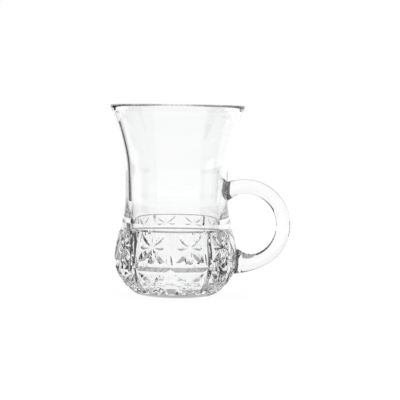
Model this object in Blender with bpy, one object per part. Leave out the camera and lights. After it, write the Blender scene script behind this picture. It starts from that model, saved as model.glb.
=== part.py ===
# Handled tea glass in clear pressed glass: a waisted bowl with a star-cut bulb, and a round loop handle.
# Metres, +Z up. The origin is the middle of the foot on the table, and the handle points along +X.

import math

import bmesh
import bpy
from mathutils import Matrix, Vector

# Outside of the bowl
HEIGHT = 0.0903               # table to the top of the lip
RIM_RADIUS = 0.0320
WAIST_RADIUS = 0.0243
FLARE_START = 0.0580          # height above which the wall opens towards the rim
FLARE_POWER = 1.5
SHOULDER_RADIUS = 0.0266      # top edge of the upper row of stars
SHOULDER_HEIGHT = 0.0313
SHOULDER_GROOVE_RISE = 0.0008  # line above that edge
SHOULDER_GROOVE_DEPTH = 0.0003
SKIRT_RISE = 0.0034           # the wall's skirt ends this far above the shoulder
SKIRT_LENGTH = 0.0118         # stretch over which the wall widens towards the bulb
SKIRT_RADIUS = 0.0260
SHOULDER_GROOVE_HEIGHT = SHOULDER_HEIGHT + SHOULDER_GROOVE_RISE
SKIRT_END = SHOULDER_HEIGHT + SKIRT_RISE
SKIRT_START = SKIRT_END + SKIRT_LENGTH
GIRDLE_RADIUS = 0.0292        # widest part of the bulb
GIRDLE_HEIGHT = 0.0155        # bottom of the groove between the two rows
GIRDLE_GROOVE_RISE = 0.0018   # groove edge above its bottom
GIRDLE_GROOVE_DROP = 0.0021   # groove edge below its bottom
GIRDLE_GROOVE_DEPTH = 0.0009
BELLY_POWER = 1.5             # roundness of the lower half: 1 is a cone and 2 an ellipse
FOOT_RADIUS = 0.0167
FOOT_EDGE_HEIGHT = 0.0019     # bottom edge of the lower row

# Inside of the bowl
RIM_WALL = 0.0020
CAVITY_FLOOR_RADIUS = 0.0200
FLOOR_HEIGHT = 0.0065
FLOOR_FILLET = 0.0035

# Cut pattern on the bulb
CELLS = 10                    # stars in each row
MITRE_WIDTH = 0.0021          # upright groove between two stars, from its middle to its edge
MITRE_DEPTH = 0.0006
CUT_SLOPE = math.radians(23)  # side of a star's cut against the surface
LEVEL_LEAF_START = 0.0005     # a star's leaves, measured from its middle
LEVEL_LEAF_END = 0.0057
LEVEL_LEAF_DEPTH = 0.00046
UPRIGHT_LEAF_START = 0.0006
UPRIGHT_LEAF_END = 0.0073
UPRIGHT_LEAF_DEPTH = 0.00035
SLANT_ANGLE = math.radians(46)
SLANT_LEAF_START = 0.0006
SLANT_LEAF_END = 0.0090
SLANT_LEAF_DEPTH = 0.00063
CUTTER_LIFT = 0.00006         # how far a leaf's cutter stands above the surface
LEAF_TIP_SHARE = 0.6          # share of that lift at which a leaf's cutter ends
LEAF_MARGIN = 0.0009          # how far a leaf may run past the edge of its row

# Handle
LOOP_RADIUS = 0.0181          # middle of the rod
LOOP_REACH = 0.0085           # loop's centre beyond the waist's wall
LOOP_HEIGHT = 0.0340
ROD_DIAMETER = 0.0069
UPPER_END_DIAMETER = 0.0084
LOWER_END_DIAMETER = 0.0118
UPPER_FLARE_LENGTH = 0.0075   # stretch over which the rod swells to its upper end
LOWER_FLARE_LENGTH = 0.0125

# Joints between handle and bowl
BOND_THICKNESS = 0.0010
CLEARANCE = 0.0003

# Roundness of the solids
LATHE_STEPS = 60
FILLET_STEPS = 4
WALL_STEPS = 3
FLARE_STEPS = 7
LIP_STEPS = 6
ROW_STEPS = 5
BELLY_STEPS = 8
MITRE_STEPS = 12
LEAF_STEPS = 4
LINE_STEPS = 400              # steps of the line along which a row is measured
SEAT_STEPS = 12               # steps of each stretch of the shapes that trim the handle
ROD_SIDES = 16
ROD_STATIONS = 32
SHARP_EDGE = math.radians(12)
ROD_SHARP_EDGE = math.radians(40)
WELD_DISTANCE = 0.00001
SLOPE_STEP = 0.00001          # height step for the slope of the bulb
TURN_STEP = math.radians(0.5)  # step for finding where the loop meets the bowl


def glass_material(name, color, roughness):
    material = bpy.data.materials.new(name)
    material.use_nodes = True
    shader = material.node_tree.nodes["Principled BSDF"]
    shader.inputs["Base Color"].default_value = (*color, 1.0)
    shader.inputs["Roughness"].default_value = roughness
    shader.inputs["Metallic"].default_value = 0.0
    shader.inputs["Transmission Weight"].default_value = 1.0
    return material


def add_object(name, bm, material=None, sharp_angle=SHARP_EDGE):
    bmesh.ops.recalc_face_normals(bm, faces=bm.faces)
    mesh = bpy.data.meshes.new(name)
    bm.to_mesh(mesh)
    bm.free()
    mesh.shade_smooth()
    mesh.set_sharp_from_angle(angle=sharp_angle)
    piece = bpy.data.objects.new(name, mesh)
    bpy.context.scene.collection.objects.link(piece)
    if material:
        mesh.materials.append(material)
    return piece


def make_cutter(piece):
    piece.hide_render = True
    piece.display_type = "WIRE"
    return piece


def add_boolean(piece, cutter, operation):
    modifier = piece.modifiers.new(cutter.name, "BOOLEAN")
    modifier.operation = operation
    modifier.solver = "EXACT"
    modifier.object = cutter
    weld = piece.modifiers.new(cutter.name + "_weld", "WELD")
    weld.merge_threshold = WELD_DISTANCE


def even_steps(start, end, count):
    return [start + (end - start) * i / count for i in range(count + 1)]


# Outline of the bowl: radius of each wall at a height

def wall_radius(z):
    radius = WAIST_RADIUS
    if z > FLARE_START:
        flare = (z - FLARE_START) / (HEIGHT - RIM_WALL / 2 - FLARE_START)
        radius += (RIM_RADIUS - WAIST_RADIUS) * flare ** FLARE_POWER
    if z < SKIRT_START:
        radius += (SKIRT_RADIUS - WAIST_RADIUS) * (SKIRT_START - z) / (SKIRT_START - SKIRT_END)
    return radius


def bulb_radius(z):
    crown = GIRDLE_HEIGHT + GIRDLE_GROOVE_RISE
    if z > crown:
        share = (z - crown) / (SHOULDER_HEIGHT - crown)
        return GIRDLE_RADIUS - (GIRDLE_RADIUS - SHOULDER_RADIUS) * share ** 2
    if z > GIRDLE_HEIGHT:
        return GIRDLE_RADIUS
    share = (GIRDLE_HEIGHT - z) / GIRDLE_HEIGHT
    return FOOT_RADIUS + (GIRDLE_RADIUS - FOOT_RADIUS) * (1 - share ** BELLY_POWER) ** (1 / BELLY_POWER)


def outer_radius(z):
    if z <= SHOULDER_HEIGHT:
        return bulb_radius(z)
    if z >= SKIRT_END:
        return wall_radius(z)
    return max(SKIRT_RADIUS, SHOULDER_RADIUS)


def cavity_radius(z):
    if z >= FLARE_START:
        return wall_radius(z) - RIM_WALL
    taper = (z - FLOOR_HEIGHT) / (FLARE_START - FLOOR_HEIGHT)
    return CAVITY_FLOOR_RADIUS + (WAIST_RADIUS - RIM_WALL - CAVITY_FLOOR_RADIUS) * taper


def belly_heights(top, count):
    # steps that crowd towards the foot, where the belly turns under
    return [top * math.cos(math.pi / 2 * i / count) for i in range(count + 1)]


def bowl_outline():
    lip = RIM_WALL / 2
    lip_height = HEIGHT - lip
    fillet_top = FLOOR_HEIGHT + FLOOR_FILLET
    fillet_center = cavity_radius(fillet_top) - FLOOR_FILLET
    points = [(0.0, FLOOR_HEIGHT)]
    # floor, fillet and inside wall
    for angle in even_steps(-math.pi / 2, 0, FILLET_STEPS):
        points.append((fillet_center + FLOOR_FILLET * math.cos(angle),
                       fillet_top + FLOOR_FILLET * math.sin(angle)))
    for z in even_steps(fillet_top, FLARE_START, WALL_STEPS)[1:]:
        points.append((cavity_radius(z), z))
    for z in even_steps(FLARE_START, lip_height, FLARE_STEPS)[1:]:
        points.append((cavity_radius(z), z))
    # round lip
    lip_center = wall_radius(lip_height) - lip
    for angle in even_steps(math.pi, 0, LIP_STEPS)[1:]:
        points.append((lip_center + lip * math.cos(angle), lip_height + lip * math.sin(angle)))
    # outside wall, down to the shoulder
    for z in even_steps(lip_height, FLARE_START, FLARE_STEPS)[1:]:
        points.append((wall_radius(z), z))
    for z in (SKIRT_START, (SKIRT_START + SKIRT_END) / 2, SKIRT_END):
        points.append((wall_radius(z), z))
    points.append((SKIRT_RADIUS - SHOULDER_GROOVE_DEPTH, SHOULDER_GROOVE_HEIGHT))
    # upper row, girdle groove and lower row
    for z in even_steps(SHOULDER_HEIGHT, GIRDLE_HEIGHT + GIRDLE_GROOVE_RISE, ROW_STEPS):
        points.append((bulb_radius(z), z))
    points.append((GIRDLE_RADIUS - GIRDLE_GROOVE_DEPTH, GIRDLE_HEIGHT))
    for z in belly_heights(GIRDLE_HEIGHT - GIRDLE_GROOVE_DROP, BELLY_STEPS):
        points.append((bulb_radius(max(z, 0.0)), max(z, 0.0)))
    points.append((0.0, 0.0))
    return points


def lathe(name, outline, material=None):
    # the seams stand half a step off the middles of the stars, so that no cut runs along a seam
    bm = bmesh.new()
    half_step = Matrix.Rotation(math.pi / LATHE_STEPS, 3, "Z")
    points = [bm.verts.new(half_step @ Vector((radius, 0.0, z))) for radius, z in outline]
    edges = [bm.edges.new(pair) for pair in zip(points, points[1:])]
    bmesh.ops.spin(bm, geom=points + edges, cent=(0, 0, 0), axis=(0, 0, 1), angle=math.tau,
                   steps=LATHE_STEPS, use_merge=True)
    bmesh.ops.remove_doubles(bm, verts=bm.verts, dist=WELD_DISTANCE)
    return add_object(name, bm, material)


def envelope(name, offset):
    # plain outside of the bowl, grown by an offset, that trims what is stuck to it
    outline = [(0.0, HEIGHT), (outer_radius(HEIGHT) + offset, HEIGHT)]
    for z in even_steps(HEIGHT, SKIRT_END, SEAT_STEPS)[1:]:
        outline.append((outer_radius(z) + offset, z))
    for z in even_steps(SHOULDER_HEIGHT, GIRDLE_HEIGHT, SEAT_STEPS):
        outline.append((outer_radius(z) + offset, z))
    for z in belly_heights(GIRDLE_HEIGHT, SEAT_STEPS)[1:-1]:
        outline.append((outer_radius(z) + offset, z))
    outline += [(FOOT_RADIUS + offset, 0.0), (0.0, 0.0)]
    return make_cutter(lathe(name, outline))


# Star cuts: eight leaf-shaped V cuts point at the middle of each cell, deepest half way along

def surface_frame(azimuth, z, turn):
    # at a point of the bulb: X along the cut, Z out of the glass
    slope = (bulb_radius(z + SLOPE_STEP) - bulb_radius(z - SLOPE_STEP)) / (2 * SLOPE_STEP)
    around = Vector((-math.sin(azimuth), math.cos(azimuth), 0.0))
    outward = Vector((math.cos(azimuth), math.sin(azimuth), 0.0))
    up = (Vector((0, 0, 1)) + outward * slope).normalized()
    normal = around.cross(up)
    along = around * math.cos(turn) + up * math.sin(turn)
    across = normal.cross(along)
    frame = Matrix((along, across, normal)).transposed().to_4x4()
    frame.translation = outward * bulb_radius(z) + Vector((0, 0, z))
    return frame


def row_line(top, bottom):
    # heights down a row, each with its distance along the surface from the row's middle
    heights = even_steps(top + LEAF_MARGIN, bottom - LEAF_MARGIN, LINE_STEPS)
    points = [Vector((bulb_radius(z), z)) for z in heights]
    lengths = [0.0]
    for first, second in zip(points, points[1:]):
        lengths.append(lengths[-1] + (second - first).length)
    inside = [length for z, length in zip(heights, lengths) if bottom <= z <= top]
    middle = (inside[0] + inside[-1]) / 2
    return [(z, middle - length) for z, length in zip(heights, lengths)]


def height_on(line, distance):
    return min(line, key=lambda pair: abs(pair[1] - distance))[0]


def cell_azimuths(shift):
    return [math.tau * (i + shift) / CELLS for i in range(CELLS)]


def bridge_sections(bm, sections):
    loops = [[bm.edges.new((ring[i - 1], ring[i])) for i in range(len(ring))] for ring in sections]
    for upper, lower in zip(loops, loops[1:]):
        bmesh.ops.bridge_loops(bm, edges=upper + lower)
    bm.faces.new(sections[0])
    bm.faces.new(sections[-1])


def add_leaf(bm, line, azimuth, angle, leaf):
    start, end, depth = leaf
    middle = (start + end) / 2
    half = (end - start) / 2
    reach = half * math.sqrt(1 + CUTTER_LIFT * LEAF_TIP_SHARE / depth)
    middle_radius = bulb_radius(height_on(line, 0.0))
    sections = []
    for place in even_steps(middle - reach, middle + reach, LEAF_STEPS):
        turned = azimuth + place * math.cos(angle) / middle_radius
        frame = surface_frame(turned, height_on(line, place * math.sin(angle)), angle)
        deep = depth * (1 - ((place - middle) / half) ** 2)
        wide = (deep + CUTTER_LIFT) / math.tan(CUT_SLOPE)
        section = [(0, 0, -deep), (0, -wide, CUTTER_LIFT), (0, wide, CUTTER_LIFT)]
        sections.append([bm.verts.new(frame @ Vector(point)) for point in section])
    bridge_sections(bm, sections)


def leaf_cutter(name, rows, leaves):
    bm = bmesh.new()
    for top, bottom in rows:
        line = row_line(top, bottom)
        for azimuth in cell_azimuths(0):
            for angle, leaf in leaves:
                add_leaf(bm, line, azimuth, angle, leaf)
                add_leaf(bm, line, azimuth, angle + math.pi, leaf)
    return make_cutter(add_object(name, bm))


def mitre_cutter(name, top, bottom):
    # upright V grooves between the cells, which follow the bulb and run out at the foot
    bm = bmesh.new()
    section = [(0, 0, -MITRE_DEPTH), (0, -2 * MITRE_WIDTH, MITRE_DEPTH), (0, 2 * MITRE_WIDTH, MITRE_DEPTH)]
    for azimuth in cell_azimuths(0.5):
        frames = [surface_frame(azimuth, z, math.pi / 2) for z in even_steps(top, bottom, MITRE_STEPS)]
        bridge_sections(bm, [[bm.verts.new(frame @ Vector(point)) for point in section] for frame in frames])
    return make_cutter(add_object(name, bm))


def make_body(material):
    body = lathe("glass_body", bowl_outline(), material)
    rows = ((SHOULDER_HEIGHT, GIRDLE_HEIGHT + GIRDLE_GROOVE_RISE),
            (GIRDLE_HEIGHT - GIRDLE_GROOVE_DROP, FOOT_EDGE_HEIGHT))
    level = (LEVEL_LEAF_START, LEVEL_LEAF_END, LEVEL_LEAF_DEPTH)
    upright = (UPRIGHT_LEAF_START, UPRIGHT_LEAF_END, UPRIGHT_LEAF_DEPTH)
    slant = (SLANT_LEAF_START, SLANT_LEAF_END, SLANT_LEAF_DEPTH)
    cutters = [mitre_cutter("mitre_cut", SHOULDER_HEIGHT, FOOT_EDGE_HEIGHT),
               leaf_cutter("straight_leaves", rows, ((0.0, level), (math.pi / 2, upright))),
               leaf_cutter("slanting_leaves", rows, ((SLANT_ANGLE, slant), (math.pi - SLANT_ANGLE, slant)))]
    for cutter in cutters:
        add_boolean(body, cutter, "DIFFERENCE")
    return body


# Handle: a rod along a circle in the XZ plane, swollen at both ends and trimmed to the bowl

def loop_point(angle):
    center = Vector((WAIST_RADIUS + LOOP_REACH, 0.0, LOOP_HEIGHT))
    return center + LOOP_RADIUS * Vector((math.cos(angle), 0.0, math.sin(angle)))


def end_angle(direction):
    # turn from +X along the loop until the rod's middle lies a rod's depth inside the bowl's wall
    angle = math.pi / 2 * direction
    while abs(angle) < math.pi:
        point = loop_point(angle)
        if point.x < outer_radius(point.z) - ROD_DIAMETER / 2:
            break
        angle += TURN_STEP * direction
    return angle


def wall_angle(direction):
    angle = math.pi / 2 * direction
    while loop_point(angle).x > outer_radius(loop_point(angle).z):
        angle += TURN_STEP * direction
    return angle


def rod_diameter(angle, upper_wall, lower_wall):
    diameter = ROD_DIAMETER
    ends = ((upper_wall - angle, UPPER_FLARE_LENGTH, UPPER_END_DIAMETER),
            (angle - lower_wall, LOWER_FLARE_LENGTH, LOWER_END_DIAMETER))
    for turn, flare_length, end_diameter in ends:
        share = 1 - min(max(turn * LOOP_RADIUS / flare_length, 0.0), 1.0)
        diameter += (end_diameter - ROD_DIAMETER) * share ** 2
    return diameter


def rod(name, first, last, stations, material=None):
    upper_wall = wall_angle(1)
    lower_wall = wall_angle(-1)
    bm = bmesh.new()
    loops = []
    for angle in even_steps(first, last, stations):
        radius = rod_diameter(angle, upper_wall, lower_wall) / 2
        turn = Matrix.Rotation(-angle, 4, "Y")
        frame = Matrix.Translation(loop_point(angle)) @ turn
        ring = bmesh.ops.create_circle(bm, segments=ROD_SIDES, radius=radius, matrix=frame)["verts"]
        loops.append(list({edge for vert in ring for edge in vert.link_edges}))
    for near, far in zip(loops, loops[1:]):
        bmesh.ops.bridge_loops(bm, edges=near + far)
    bmesh.ops.holes_fill(bm, edges=loops[0] + loops[-1])
    return add_object(name, bm, material, sharp_angle=ROD_SHARP_EDGE)


def make_handle(material):
    handle = rod("loop_handle", end_angle(-1), end_angle(1), ROD_STATIONS, material)
    seat = envelope("handle_seat", BOND_THICKNESS + 2 * CLEARANCE)
    add_boolean(handle, seat, "DIFFERENCE")
    return handle


def make_bond(name, direction, material):
    # the slice of the rod's end between the bowl and the handle, a clearance from each
    quarter = math.pi / 2 * direction
    bond = rod(name, min(quarter, end_angle(direction)), max(quarter, end_angle(direction)),
               ROD_STATIONS // 4, material)
    add_boolean(bond, bpy.data.objects["bond_outside"], "INTERSECT")
    add_boolean(bond, bpy.data.objects["bond_inside"], "DIFFERENCE")
    return bond


def main():
    for old in list(bpy.data.objects):
        bpy.data.objects.remove(old, do_unlink=True)
    clear_glass = glass_material("clear_glass", (0.95, 0.97, 0.97), 0.02)
    handle_glass = glass_material("handle_glass", (0.95, 0.97, 0.97), 0.02)
    joint_layer = glass_material("joint_layer", (0.75, 0.78, 0.78), 0.15)
    envelope("bond_outside", BOND_THICKNESS + CLEARANCE)
    envelope("bond_inside", CLEARANCE)
    pieces = [make_body(clear_glass), make_handle(handle_glass),
              make_bond("upper_bond", 1, joint_layer), make_bond("lower_bond", -1, joint_layer)]
    foot = bpy.data.objects.new("foot_centre", None)
    bpy.context.scene.collection.objects.link(foot)
    for piece in pieces:
        piece.parent = foot


main()
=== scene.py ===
import math

import bmesh
import bpy
from mathutils import Matrix, Vector


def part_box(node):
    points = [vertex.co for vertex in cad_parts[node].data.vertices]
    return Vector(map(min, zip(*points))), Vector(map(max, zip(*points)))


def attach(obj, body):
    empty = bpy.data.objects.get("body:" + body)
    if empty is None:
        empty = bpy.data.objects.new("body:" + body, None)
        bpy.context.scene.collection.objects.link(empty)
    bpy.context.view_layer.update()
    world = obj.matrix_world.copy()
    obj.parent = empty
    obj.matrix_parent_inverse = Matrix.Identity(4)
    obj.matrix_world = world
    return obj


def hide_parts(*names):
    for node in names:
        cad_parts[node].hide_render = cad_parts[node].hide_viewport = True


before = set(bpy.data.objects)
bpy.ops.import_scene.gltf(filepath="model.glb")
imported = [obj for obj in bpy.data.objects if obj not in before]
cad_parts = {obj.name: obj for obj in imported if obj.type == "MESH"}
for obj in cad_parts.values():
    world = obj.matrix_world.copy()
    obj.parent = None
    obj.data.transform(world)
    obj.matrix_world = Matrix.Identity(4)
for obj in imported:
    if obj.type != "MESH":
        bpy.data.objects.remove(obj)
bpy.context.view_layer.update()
print("frame loaded:", ", ".join(sorted(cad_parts)))


# camera: just below the rim's height, turned a little with the picture
view = dict(
    azimuth=3.9, elevation=3.1, roll=0.8,  # degrees
    distance=0.70,
    aim=(0.0112, 0.0, 0.0453),
    frameWidth=0.1902,                     # metres across the picture, at the aim
    sensorWidth=36.0,                      # millimetres
)


def addCamera(settings):
    turn = math.radians(settings["azimuth"])
    lift = math.radians(settings["elevation"])
    look = Vector((-math.sin(turn) * math.cos(lift), math.cos(turn) * math.cos(lift), -math.sin(lift)))
    lens = bpy.data.cameras.new("camera")
    lens.sensor_width = settings["sensorWidth"]
    lens.lens = lens.sensor_width * settings["distance"] / settings["frameWidth"]
    camera = bpy.data.objects.new("camera", lens)
    camera.location = Vector(settings["aim"]) - look * settings["distance"]
    upright = look.to_track_quat("-Z", "Y").to_matrix()
    camera.rotation_euler = (upright @ Matrix.Rotation(math.radians(settings["roll"]), 3, "Z")).to_euler()
    bpy.context.scene.collection.objects.link(camera)
    bpy.context.scene.camera = camera


addCamera(view)
print("camera set")


# mesh helpers
weldDistance = 1e-6
copyDistance = 1e-7    # between the ends of neighbouring copies
plainSharp = 8.0       # degrees: edges that turn more stay sharp


def makePiece(name, bm, sharpAngle=plainSharp):
    bmesh.ops.recalc_face_normals(bm, faces=bm.faces)
    mesh = bpy.data.meshes.new(name)
    bm.to_mesh(mesh)
    bm.free()
    piece = bpy.data.objects.new(name, mesh)
    bpy.context.scene.collection.objects.link(piece)
    smoothPiece(piece, sharpAngle)
    return piece


def smoothPiece(piece, sharpAngle):
    piece.data.shade_smooth()
    piece.data.set_sharp_from_angle(angle=math.radians(sharpAngle))


def cutPiece(piece, cutters, sharpAngle=plainSharp):
    # each cutter comes with its operation; the results are applied and the cutters leave the scene
    for cutter, operation in cutters:
        cut = piece.modifiers.new(cutter.name, "BOOLEAN")
        cut.operation = operation
        cut.solver = "EXACT"
        cut.object = cutter
        weld = piece.modifiers.new(cutter.name + "Weld", "WELD")
        weld.merge_threshold = weldDistance
    bpy.context.view_layer.update()
    shape = bpy.data.meshes.new_from_object(piece.evaluated_get(bpy.context.evaluated_depsgraph_get()))
    piece.modifiers.clear()
    piece.data = shape
    shape.name = piece.name
    for cutter in {cutter for cutter, operation in cutters}:
        bpy.data.objects.remove(cutter)
    smoothPiece(piece, sharpAngle)


def steps(first, last, count):
    return [first + (last - first) * i / count for i in range(count + 1)]


# glass bowl: half its outline turned about the axis; heights run up from the table
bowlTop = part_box("glass_body")[1]
bowl = dict(
    height=bowlTop.z, rimRadius=bowlTop.y, rimWall=0.0020,
    # radius of the lip, and how far it turns in under the outside and stops short of the inside
    lipRound=0.0007, lipLean=math.radians(20), lipBevel=math.radians(35),
    # the wall's thickness at depths below the rim
    lipWall=((0.0, 0.0016), (0.0015, 0.0020), (0.0025, 0.0023), (0.0040, 0.0023), (0.0060, 0.0021),
             (0.0090, 0.0020)),
    waistRadius=0.0243,
    flareStart=0.0580, flarePower=1.5, flareSoft=0.15,  # the wall opens above this height, softly at first
    taperTop=0.0595,                                    # below it the cavity narrows evenly to its floor
    skirtStart=0.0465, skirtEnd=0.0347, skirtRadius=0.0260, skirtPower=2.0,
    shoulderHeight=0.0313, shoulderRadius=0.0266,
    shoulderGroove=(0.0257, 0.0321),           # radius and height of the line above the upper stars
    girdleHeight=0.0155, girdleRadius=0.0292,  # groove between the two rows of stars
    grooveRise=0.0018, grooveDrop=0.0021, grooveDepth=0.0009,
    bellyPower=1.5, footRadius=0.0167, footEdge=0.0019,
    floorRadius=0.0200, floorHeight=0.0065, floorFillet=0.0035,
    turnSteps=240,
    # steps along each stretch of the outline
    filletSteps=14, taperSteps=16, insideSteps=60, lipSteps=20,
    flareSteps=40, waistSteps=4, skirtSteps=16, bulbSteps=14, bellySteps=24,
)


def lipFoot():
    # height at which the round lip leaves the outside of the wall
    return bowl["height"] - bowl["lipRound"] * (1 + math.sin(bowl["lipLean"]))


def wallThickness(depth):
    # smooth curve through the knots of the settings
    knots = bowl["lipWall"]
    slopes = [(b[1] - a[1]) / (b[0] - a[0]) for a, b in zip(knots, knots[1:])]
    tangents = [slopes[0]] + [(a + b) / 2 for a, b in zip(slopes, slopes[1:])] + [0.0]
    for i, (start, end) in enumerate(zip(knots, knots[1:])):
        if depth <= end[0]:
            reach = end[0] - start[0]
            t = max((depth - start[0]) / reach, 0.0)
            blend = t * t * (3 - 2 * t)
            bend = reach * (tangents[i] * t * (1 - t) ** 2 - tangents[i + 1] * t * t * (1 - t))
            return start[1] + (end[1] - start[1]) * blend + bend
    return bowl["rimWall"]


def flareShare(share):
    soft, power = bowl["flareSoft"], bowl["flarePower"]
    return math.hypot(share, soft) ** power - soft ** power


def wallRadius(z):
    b = bowl
    radius = b["waistRadius"]
    if z > b["flareStart"]:
        lipEdge = b["lipRound"] * (1 - math.cos(b["lipLean"]))
        share = (z - b["flareStart"]) / (lipFoot() - b["flareStart"])
        radius += (b["rimRadius"] - lipEdge - b["waistRadius"]) * flareShare(share) / flareShare(1)
    if z < b["skirtStart"]:
        share = (b["skirtStart"] - z) / (b["skirtStart"] - b["skirtEnd"])
        radius += (b["skirtRadius"] - b["waistRadius"]) * share ** b["skirtPower"]
    return radius


def bulbRadius(z):
    b = bowl
    crown = b["girdleHeight"] + b["grooveRise"]
    if z > crown:
        share = (z - crown) / (b["shoulderHeight"] - crown)
        return b["girdleRadius"] - (b["girdleRadius"] - b["shoulderRadius"]) * share ** 2
    if z > b["girdleHeight"]:
        return b["girdleRadius"]
    share = (b["girdleHeight"] - z) / b["girdleHeight"]
    bulge = (1 - share ** b["bellyPower"]) ** (1 / b["bellyPower"])
    return b["footRadius"] + (b["girdleRadius"] - b["footRadius"]) * bulge


def outerRadius(z):
    if z <= bowl["shoulderHeight"]:
        return bulbRadius(z)
    if z >= bowl["skirtEnd"]:
        return wallRadius(z)
    return max(bowl["skirtRadius"], bowl["shoulderRadius"])


def cavityRadius(z):
    b = bowl
    top = b["taperTop"]
    if z >= top:
        return wallRadius(z) - wallThickness(b["height"] - z)
    share = (z - b["floorHeight"]) / (top - b["floorHeight"])
    return b["floorRadius"] + (wallRadius(top) - b["rimWall"] - b["floorRadius"]) * share


def bellyHeights(top, count):
    return [max(top * math.cos(math.pi / 2 * i / count), 0.0) for i in range(count + 1)]


def bowlOutline():
    b = bowl
    lip = b["lipRound"]
    lipTop = b["height"] - lip * (1 - math.sin(b["lipBevel"]))
    filletTop = b["floorHeight"] + b["floorFillet"]
    filletMiddle = cavityRadius(filletTop) - b["floorFillet"]
    points = [(0.0, b["floorHeight"])]
    for angle in steps(-math.pi / 2, 0, b["filletSteps"]):          # rounded floor of the cavity
        points.append((filletMiddle + b["floorFillet"] * math.cos(angle),
                       filletTop + b["floorFillet"] * math.sin(angle)))
    inside = steps(filletTop, b["taperTop"], b["taperSteps"])[1:]
    inside += steps(b["taperTop"], lipTop, b["insideSteps"])[1:-1]
    points += [(min(cavityRadius(z), b["rimRadius"] - 2 * lip), z) for z in inside]
    for angle in steps(math.pi - b["lipBevel"], -b["lipLean"], b["lipSteps"]):
        points.append((b["rimRadius"] - lip * (1 - math.cos(angle)),
                       b["height"] - lip * (1 - math.sin(angle))))
    outside = steps(lipFoot(), b["flareStart"], b["flareSteps"])[1:]
    outside += steps(b["flareStart"], b["skirtStart"], b["waistSteps"])[1:]
    outside += steps(b["skirtStart"], b["skirtEnd"], b["skirtSteps"])[1:]
    points += [(wallRadius(z), z) for z in outside]
    points.append(b["shoulderGroove"])
    crown = b["girdleHeight"] + b["grooveRise"]
    points += [(bulbRadius(z), z) for z in steps(b["shoulderHeight"], crown, b["bulbSteps"])]
    points.append((b["girdleRadius"] - b["grooveDepth"], b["girdleHeight"]))
    lowerTop = b["girdleHeight"] - b["grooveDrop"]
    points += [(bulbRadius(z), z) for z in bellyHeights(lowerTop, b["bellySteps"])]
    points.append((0.0, 0.0))
    return points


def turnOutline(name, outline):
    # the seams stand half a step off the middles of the stars, so that no cut runs along one
    bm = bmesh.new()
    offset = Matrix.Rotation(math.pi / bowl["turnSteps"], 3, "Z")
    points = [bm.verts.new(offset @ Vector((radius, 0.0, z))) for radius, z in outline]
    edges = [bm.edges.new(pair) for pair in zip(points, points[1:])]
    bmesh.ops.spin(bm, geom=points + edges, cent=(0, 0, 0), axis=(0, 0, 1), angle=math.tau,
                   steps=bowl["turnSteps"], use_merge=True)
    bmesh.ops.remove_doubles(bm, verts=bm.verts, dist=weldDistance)
    return makePiece(name, bm)


# star cuts: in each cell eight leaf-shaped V cuts point at the middle
stars = dict(
    cells=10,
    slope=math.radians(27),           # side of a cut against the surface
    # each leaf: its direction, reach from the middle of its star, depth in the upper and in the lower row,
    # and how far out it is deepest
    straightLeaves=((0, 0.0005, 0.0060, 0.00058, 0.00058, 1.8), (180, 0.0005, 0.0060, 0.00058, 0.00058, 1.8),
                    (90, 0.0006, 0.0071, 0.00015, 0.00015, 1.0), (270, 0.0004, 0.0080, 0.0011, 0.0011, 1.4)),
    slantLeaves=((46, 0.0006, 0.0090, 0.00060, 0.00096, 1.0), (134, 0.0006, 0.0090, 0.00060, 0.00096, 1.0),
                 (226, 0.0006, 0.0094, 0.00105, 0.00105, 1.2), (314, 0.0006, 0.0094, 0.00105, 0.00105, 1.2)),
    lift=0.00006, tip=0.6,            # the cutter's top above the surface, and the share of it left at a tip
    margin=0.0009,                    # how far a leaf may run past the edge of its row
    leafSteps=16, lineSteps=600, mitreSteps=40,
    mitreWidth=0.0046, mitreDepth=0.00065,
    probe=1e-5,                       # half the height over which the bulb's slope is taken
)


def surfaceFrame(z):
    # on the bulb at +X: X goes round, Y up along the surface, Z out of the glass
    probe = stars["probe"]
    slope = (bulbRadius(z + probe) - bulbRadius(z - probe)) / (2 * probe)
    around = Vector((0, 1, 0))
    up = Vector((slope, 0, 1)).normalized()
    matrix = Matrix((around, up, around.cross(up))).transposed().to_4x4()
    matrix.translation = (bulbRadius(z), 0, z)
    return matrix


def surfaceLine(top, bottom):
    # heights down a row, each with its distance along the surface from the row's middle
    heights = steps(top + stars["margin"], bottom - stars["margin"], stars["lineSteps"])
    lengths = [0.0]
    for above, below in zip(heights, heights[1:]):
        lengths.append(lengths[-1] + math.hypot(bulbRadius(above) - bulbRadius(below), above - below))
    inside = [length for z, length in zip(heights, lengths) if bottom <= z <= top]
    middle = (inside[0] + inside[-1]) / 2
    return [(z, middle - length) for z, length in zip(heights, lengths)]


def repeatAround(bm, count):
    everything = bm.verts[:] + bm.edges[:] + bm.faces[:]
    bmesh.ops.spin(bm, geom=everything, cent=(0, 0, 0), axis=(0, 0, 1), angle=math.tau * (count - 1) / count,
                   steps=count - 1, use_duplicate=True)
    bmesh.ops.remove_doubles(bm, verts=bm.verts, dist=copyDistance)


def bridgeSections(bm, sections):
    loops = [[bm.edges.new((ring[i - 1], ring[i])) for i in range(len(ring))] for ring in sections]
    for one, other in zip(loops, loops[1:]):
        bmesh.ops.bridge_loops(bm, edges=one + other)
    bmesh.ops.holes_fill(bm, edges=loops[0] + loops[-1])


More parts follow.
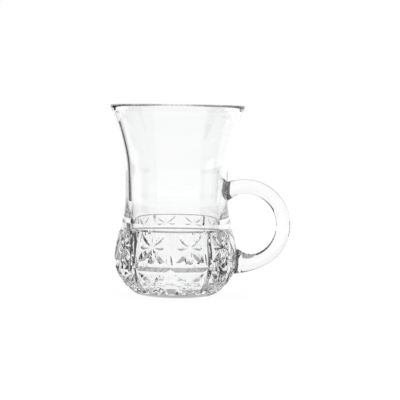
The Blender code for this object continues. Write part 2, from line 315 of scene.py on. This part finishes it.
def addLeaf(bm, line, leaf, row):
    s = stars
    angle, near, far, *depths, skew = leaf
    angle = math.radians(angle)
    middleRadius = bulbRadius(min(line, key=lambda pair: abs(pair[1]))[0])
    sections = []
    for part in steps(0, 1, s["leafSteps"]):
        reach = near + (far - near) * part ** (1 / skew)
        z = min(line, key=lambda pair: abs(pair[1] - reach * math.sin(angle)))[0]
        place = Matrix.Rotation(reach * math.cos(angle) / middleRadius, 4, "Z") @ surfaceFrame(z)
        deep = depths[row] * 4 * part * (1 - part) - s["lift"] * s["tip"]
        wide = (deep + s["lift"]) / math.tan(s["slope"])
        side = Vector((-math.sin(angle), math.cos(angle), 0)) * wide
        top = Vector((0, 0, s["lift"]))
        corners = (Vector((0, 0, -deep)), top - side, top + side)
        sections.append([bm.verts.new(place @ corner) for corner in corners])
    bridgeSections(bm, sections)


def leafCutter(name, rows, leaves):
    bm = bmesh.new()
    for row, (top, bottom) in enumerate(rows):
        line = surfaceLine(top, bottom)
        for leaf in leaves:
            addLeaf(bm, line, leaf, row)
    repeatAround(bm, stars["cells"])
    return makePiece(name, bm)


def mitreCutter(name, top, bottom):
    # upright V grooves between the cells, which follow the bulb
    s = stars
    bm = bmesh.new()
    section = [(0, -s["mitreDepth"]), (-s["mitreWidth"], s["mitreDepth"]), (s["mitreWidth"], s["mitreDepth"])]
    bridgeSections(bm, [[bm.verts.new(surfaceFrame(z) @ Vector((across, 0, out))) for across, out in section]
                        for z in steps(top, bottom, s["mitreSteps"])])
    halfCell = Matrix.Rotation(math.pi / s["cells"], 3, "Z")
    bmesh.ops.rotate(bm, matrix=halfCell, verts=bm.verts)
    repeatAround(bm, s["cells"])
    return makePiece(name, bm)


def makeBowl():
    b, s = bowl, stars
    piece = turnOutline("glassBowl", bowlOutline())
    crown = b["girdleHeight"] + b["grooveRise"]
    lowerTop = b["girdleHeight"] - b["grooveDrop"]
    rows = ((b["shoulderHeight"], crown), (lowerTop, b["footEdge"]))
    cutPiece(piece, [
        (mitreCutter("mitres", b["shoulderHeight"], b["footEdge"]), "DIFFERENCE"),
        (leafCutter("straightLeaves", rows, s["straightLeaves"]), "DIFFERENCE"),
        (leafCutter("slantLeaves", rows, s["slantLeaves"]), "DIFFERENCE"),
    ])
    return piece


glassBowl = makeBowl()
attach(glassBowl, "root")
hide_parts("glass_body")
print("bowl cut:", len(glassBowl.data.polygons), "faces")


# handle: a round rod along a circle in the plane of X and Z, swollen where it meets the bowl
handle = dict(
    loopRadius=0.0181, loopReach=0.0085, loopHeight=0.0340,
    rod=0.00688, upperEnd=0.0084, lowerEnd=0.0118,
    upperFlare=0.0075, lowerFlare=0.0125,
    padThickness=0.0013, seam=0.00008,
    sides=48, stations=120, padStations=30,
    wallSteps=60, bulbSteps=30, bellySteps=30,  # heights of the shape that trims the ends
    searchStep=math.radians(0.25),
    sharpAngle=30.0,
)


def loopPoint(angle):
    h = handle
    middle = Vector((bowl["waistRadius"] + h["loopReach"], 0.0, h["loopHeight"]))
    return middle + h["loopRadius"] * Vector((math.cos(angle), 0.0, math.sin(angle)))


def turnUntil(way, depth):
    # angle from +X along the loop at which the rod's middle lies that deep inside the bowl's wall
    angle = math.pi / 2 * way
    while abs(angle) < math.pi and loopPoint(angle).x > outerRadius(loopPoint(angle).z) - depth:
        angle += handle["searchStep"] * way
    return angle


def rodDiameter(angle):
    h = handle
    diameter = h["rod"]
    ends = ((turnUntil(1, 0.0) - angle, h["upperFlare"], h["upperEnd"]),
            (angle - turnUntil(-1, 0.0), h["lowerFlare"], h["lowerEnd"]))
    for turn, flare, end in ends:
        share = 1 - min(max(turn * h["loopRadius"] / flare, 0.0), 1.0)
        diameter += (end - h["rod"]) * share ** 2
    return diameter


def makeRod(name, first, last, stations):
    bm = bmesh.new()
    loops = []
    for angle in steps(first, last, stations):
        place = Matrix.Translation(loopPoint(angle)) @ Matrix.Rotation(-angle, 4, "Y")
        ring = bmesh.ops.create_circle(bm, segments=handle["sides"], matrix=place,
                                       radius=rodDiameter(angle) / 2)
        loops.append(list({edge for vert in ring["verts"] for edge in vert.link_edges}))
    for near, far in zip(loops, loops[1:]):
        bmesh.ops.bridge_loops(bm, edges=near + far)
    bmesh.ops.holes_fill(bm, edges=loops[0] + loops[-1])
    return makePiece(name, bm, handle["sharpAngle"])


def wallShape(name, offset):
    # plain outside of the bowl, grown by an offset, that trims what is stuck to it
    b, h = bowl, handle
    heights = steps(b["height"], b["skirtEnd"], h["wallSteps"])
    heights += steps(b["shoulderHeight"], b["girdleHeight"], h["bulbSteps"])
    heights += bellyHeights(b["girdleHeight"], h["bellySteps"])[1:]
    outline = [(0.0, b["height"])] + [(outerRadius(z) + offset, z) for z in heights] + [(0.0, 0.0)]
    return turnOutline(name, outline)


def makeHandle():
    h = handle
    piece = makeRod("loopHandle", turnUntil(-1, h["rod"] / 2), turnUntil(1, h["rod"] / 2), h["stations"])
    seat = wallShape("seat", h["padThickness"] + 2 * h["seam"])
    cutPiece(piece, [(seat, "DIFFERENCE")], h["sharpAngle"])
    return piece


def makePad(name, way):
    # slice of the rod's end that joins it to the bowl
    h = handle
    quarter, end = math.pi / 2 * way, turnUntil(way, h["rod"] / 2)
    piece = makeRod(name, min(quarter, end), max(quarter, end), h["padStations"])
    cutPiece(piece, [(wallShape("padTop", h["padThickness"] + h["seam"]), "INTERSECT"),
                     (wallShape("padBottom", h["seam"]), "DIFFERENCE")], h["sharpAngle"])
    return piece


loopHandle = makeHandle()
upperPad = makePad("upperPad", 1)
lowerPad = makePad("lowerPad", -1)
for piece, node, slot in ((loopHandle, "loop_handle", "handle_glass"),
                          (upperPad, "upper_bond", "joint_layer"), (lowerPad, "lower_bond", "joint_layer")):
    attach(piece, "root")
    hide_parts(node)
print("handle and its joints made")


# materials: a wrapped socket takes part in plain expressions
class Sock:
    def __init__(self, tree, socket=None):
        self.tree = tree
        self.socket = socket

    def node(self, kind, settings={}, sockets={}, out=0):
        made = self.tree.nodes.new("ShaderNode" + kind)
        for name, value in settings.items():
            setattr(made, name, value)
        for name, value in sockets.items():
            if isinstance(value, Sock):
                self.tree.links.new(value.socket, made.inputs[name])
            else:
                made.inputs[name].default_value = value
        return Sock(self.tree, made.outputs[out] if made.outputs else None)

    def maths(self, operation, first, second):
        return self.node("Math", dict(operation=operation), {0: first, 1: second})

    def __mul__(self, other):
        return self.maths("MULTIPLY", self, other)

    def __rmul__(self, other):
        return self.maths("MULTIPLY", other, self)


def newMaterial(name):
    material = bpy.data.materials.new(name)
    material.use_nodes = True
    material.node_tree.nodes.clear()
    return material, Sock(material.node_tree)


def finishMaterial(start, shader):
    start.node("OutputMaterial", {}, {"Surface": shader})


glass = dict(
    bowlTint=((0.985, 0.990, 0.990, 1), (1.0, 1.0, 1.0, 1)),
    padTint=((0.10, 0.105, 0.105, 1), (0.24, 0.25, 0.25, 1)),
    # slow waves that pressing leaves in the surface
    waveScale=60.0, waveDetail=2.0, waveStrength=0.015, waveDistance=0.001,
    hazeScale=220.0, hazeDetail=3.0, bowlHaze=0.01, padHaze=0.10,
    ior=1.5,
)


def glassMaterial(name, tint, roughest):
    g = glass
    material, start = newMaterial(name)
    place = start.node("TexCoord", out="Object")
    waves = start.node("TexNoise", {}, {"Vector": place, "Scale": g["waveScale"], "Detail": g["waveDetail"]})
    haze = start.node("TexNoise", {}, {"Vector": place, "Scale": g["hazeScale"], "Detail": g["hazeDetail"]})
    colour = start.node("Mix", dict(data_type="RGBA"), {"Factor": waves, 6: tint[0], 7: tint[1]}, out=2)
    bump = start.node("Bump", {}, {
        "Height": waves, "Strength": g["waveStrength"], "Distance": g["waveDistance"]})
    shader = start.node("BsdfPrincipled", {}, {
        "Base Color": colour, "Roughness": haze * roughest, "Normal": bump,
        "IOR": g["ior"], "Transmission Weight": 1.0})
    finishMaterial(start, shader)
    return material


clearGlass = glassMaterial("clearGlass", glass["bowlTint"], glass["bowlHaze"])
handleGlass = glassMaterial("handleGlass", glass["bowlTint"], glass["bowlHaze"])
jointGlass = glassMaterial("jointGlass", glass["padTint"], glass["padHaze"])
for piece, material in ((glassBowl, clearGlass), (loopHandle, handleGlass),
                        (upperPad, jointGlass), (lowerPad, jointGlass)):
    piece.data.materials.clear()
    piece.data.materials.append(material)
print("glass materials set")


# stage: white floor and backdrop, with dark cards round the sides and front that draw the glass's lines, and
# painted shade on the floor round the glass
stage = dict(
    floorRadius=6.0, floorGlow=0.95, floorDiffuse=0.06, worldColour=(1, 1, 1, 1),
    # bearings run from +Y towards -X in degrees; tones are what the glass sees there
    # upright cards: first and last bearing, distance, lower and upper edge, tone
    uprightCards=((61, 76, 0.42, 0.0, 0.90, 0.03), (76, 104, 0.42, 0.14, 0.90, 0.03),
                  (104, 121, 0.42, 0.0, 0.90, 0.03), (121, 239, 0.42, 0.045, 0.90, 0.40),
                  (239, 300, 0.42, 0.0, 0.90, 0.03), (300, 320, 0.42, 0.15, 0.90, 0.03)),
    # tilted slats that stop level light, and let pass what comes down along them
    louvre=dict(first=41, last=61, far=0.20, low=0.001, high=0.060, slats=150,
                width=0.002, tilt=math.radians(22), tone=0.02),
    # painted shade on the floor, seen by the glass alone: the ring under the glass is a painted contact
    # shadow, and the pieces beside it are dark cards for the glass's lines that also paint the glass's shade
    # on the floor; first and last bearing, inner and outer radius, tone
    floorShadeCards=((-60, 60, 0.0, 0.045, 0.40), (60, 120, 0.0, 0.045, 0.50), (120, 240, 0.0, 0.045, 0.90),
                (-120, -60, 0.0, 0.045, 0.35),
                (60, 120, 0.045, 0.17, 0.02), (-120, -60, 0.045, 0.17, 0.03), (120, 240, 0.045, 0.09, 0.02)),
    floorShadeLift=0.0002,
    canopy=(0.42, 0.90, 0.60),           # radius, height and tone
    roundSides=64, cardTurn=4,           # sides of floor and canopy, degrees to a step of a card
    bounces=32, glossyBounces=16,
)


def addFloor():
    bm = bmesh.new()
    bmesh.ops.create_circle(bm, cap_ends=True, segments=stage["roundSides"], radius=stage["floorRadius"])
    floor = makePiece("floor", bm)
    material, start = newMaterial("whiteFloor")
    glow = start.node("Emission", {}, {"Strength": stage["floorGlow"]})
    matt = start.node("BsdfDiffuse", {}, {"Color": (*[stage["floorDiffuse"]] * 3, 1)})
    finishMaterial(start, start.node("AddShader", {}, {0: glow, 1: matt}))
    floor.data.materials.append(material)


def addCard(name, bm, tone):
    # seen by the glass alone
    piece = makePiece(name, bm)
    material, start = newMaterial(name)
    finishMaterial(start, start.node("Emission", {}, {"Color": (tone, tone, tone, 1)}))
    piece.data.materials.append(material)
    piece.visible_camera = False
    piece.visible_diffuse = False
    piece.visible_shadow = False


def sweepCard(name, lines, first, last, tone):
    # lines in the plane of Y and Z, turned from one bearing to another
    bm = bmesh.new()
    edges = [bm.edges.new([bm.verts.new((0, *point)) for point in line]) for line in lines]
    verts = bm.verts[:]
    bmesh.ops.rotate(bm, verts=verts, matrix=Matrix.Rotation(math.radians(first), 3, "Z"))
    bmesh.ops.spin(bm, geom=verts + edges, cent=(0, 0, 0), axis=(0, 0, 1),
                   angle=math.radians(last - first), steps=max(2, (last - first) // stage["cardTurn"]))
    addCard(name, bm, tone)


def addLouvre(settings):
    far = settings["far"]
    reach = settings["width"] * math.cos(settings["tilt"])
    drop = settings["width"] * math.sin(settings["tilt"])
    heights = steps(settings["low"], settings["high"], settings["slats"] - 1)
    sweepCard("louvreCard", [((far, z), (far + reach, z - drop)) for z in heights],
              settings["first"], settings["last"], settings["tone"])


def addCards():
    for number, (first, last, far, low, high, tone) in enumerate(stage["uprightCards"]):
        sweepCard("upright%dCard" % number, [((far, low), (far, high))], first, last, tone)
    addLouvre(stage["louvre"])
    # floor cards: painted shade on the floor under and beside the glass, seen by the glass alone
    for number, (first, last, inner, outer, tone) in enumerate(stage["floorShadeCards"]):
        lift = stage["floorShadeLift"]
        sweepCard("floor%dCard" % number, [((inner, lift), (outer, lift))], first, last, tone)
    radius, height, tone = stage["canopy"]
    bm = bmesh.new()
    bmesh.ops.create_circle(bm, cap_ends=True, segments=stage["roundSides"], radius=radius)
    bmesh.ops.translate(bm, vec=(0, 0, height), verts=bm.verts)
    addCard("canopyCard", bm, tone)


def addWorld():
    world = bpy.data.worlds.new("whiteRoom")
    world.use_nodes = True
    world.node_tree.nodes["Background"].inputs["Color"].default_value = stage["worldColour"]
    bpy.context.scene.world = world


addFloor()
addCards()
addWorld()

scene = bpy.context.scene
scene.view_settings.view_transform = "Standard"
scene.cycles.max_bounces = stage["bounces"]
scene.cycles.transmission_bounces = stage["bounces"]
scene.cycles.glossy_bounces = stage["glossyBounces"]
print("stage set")
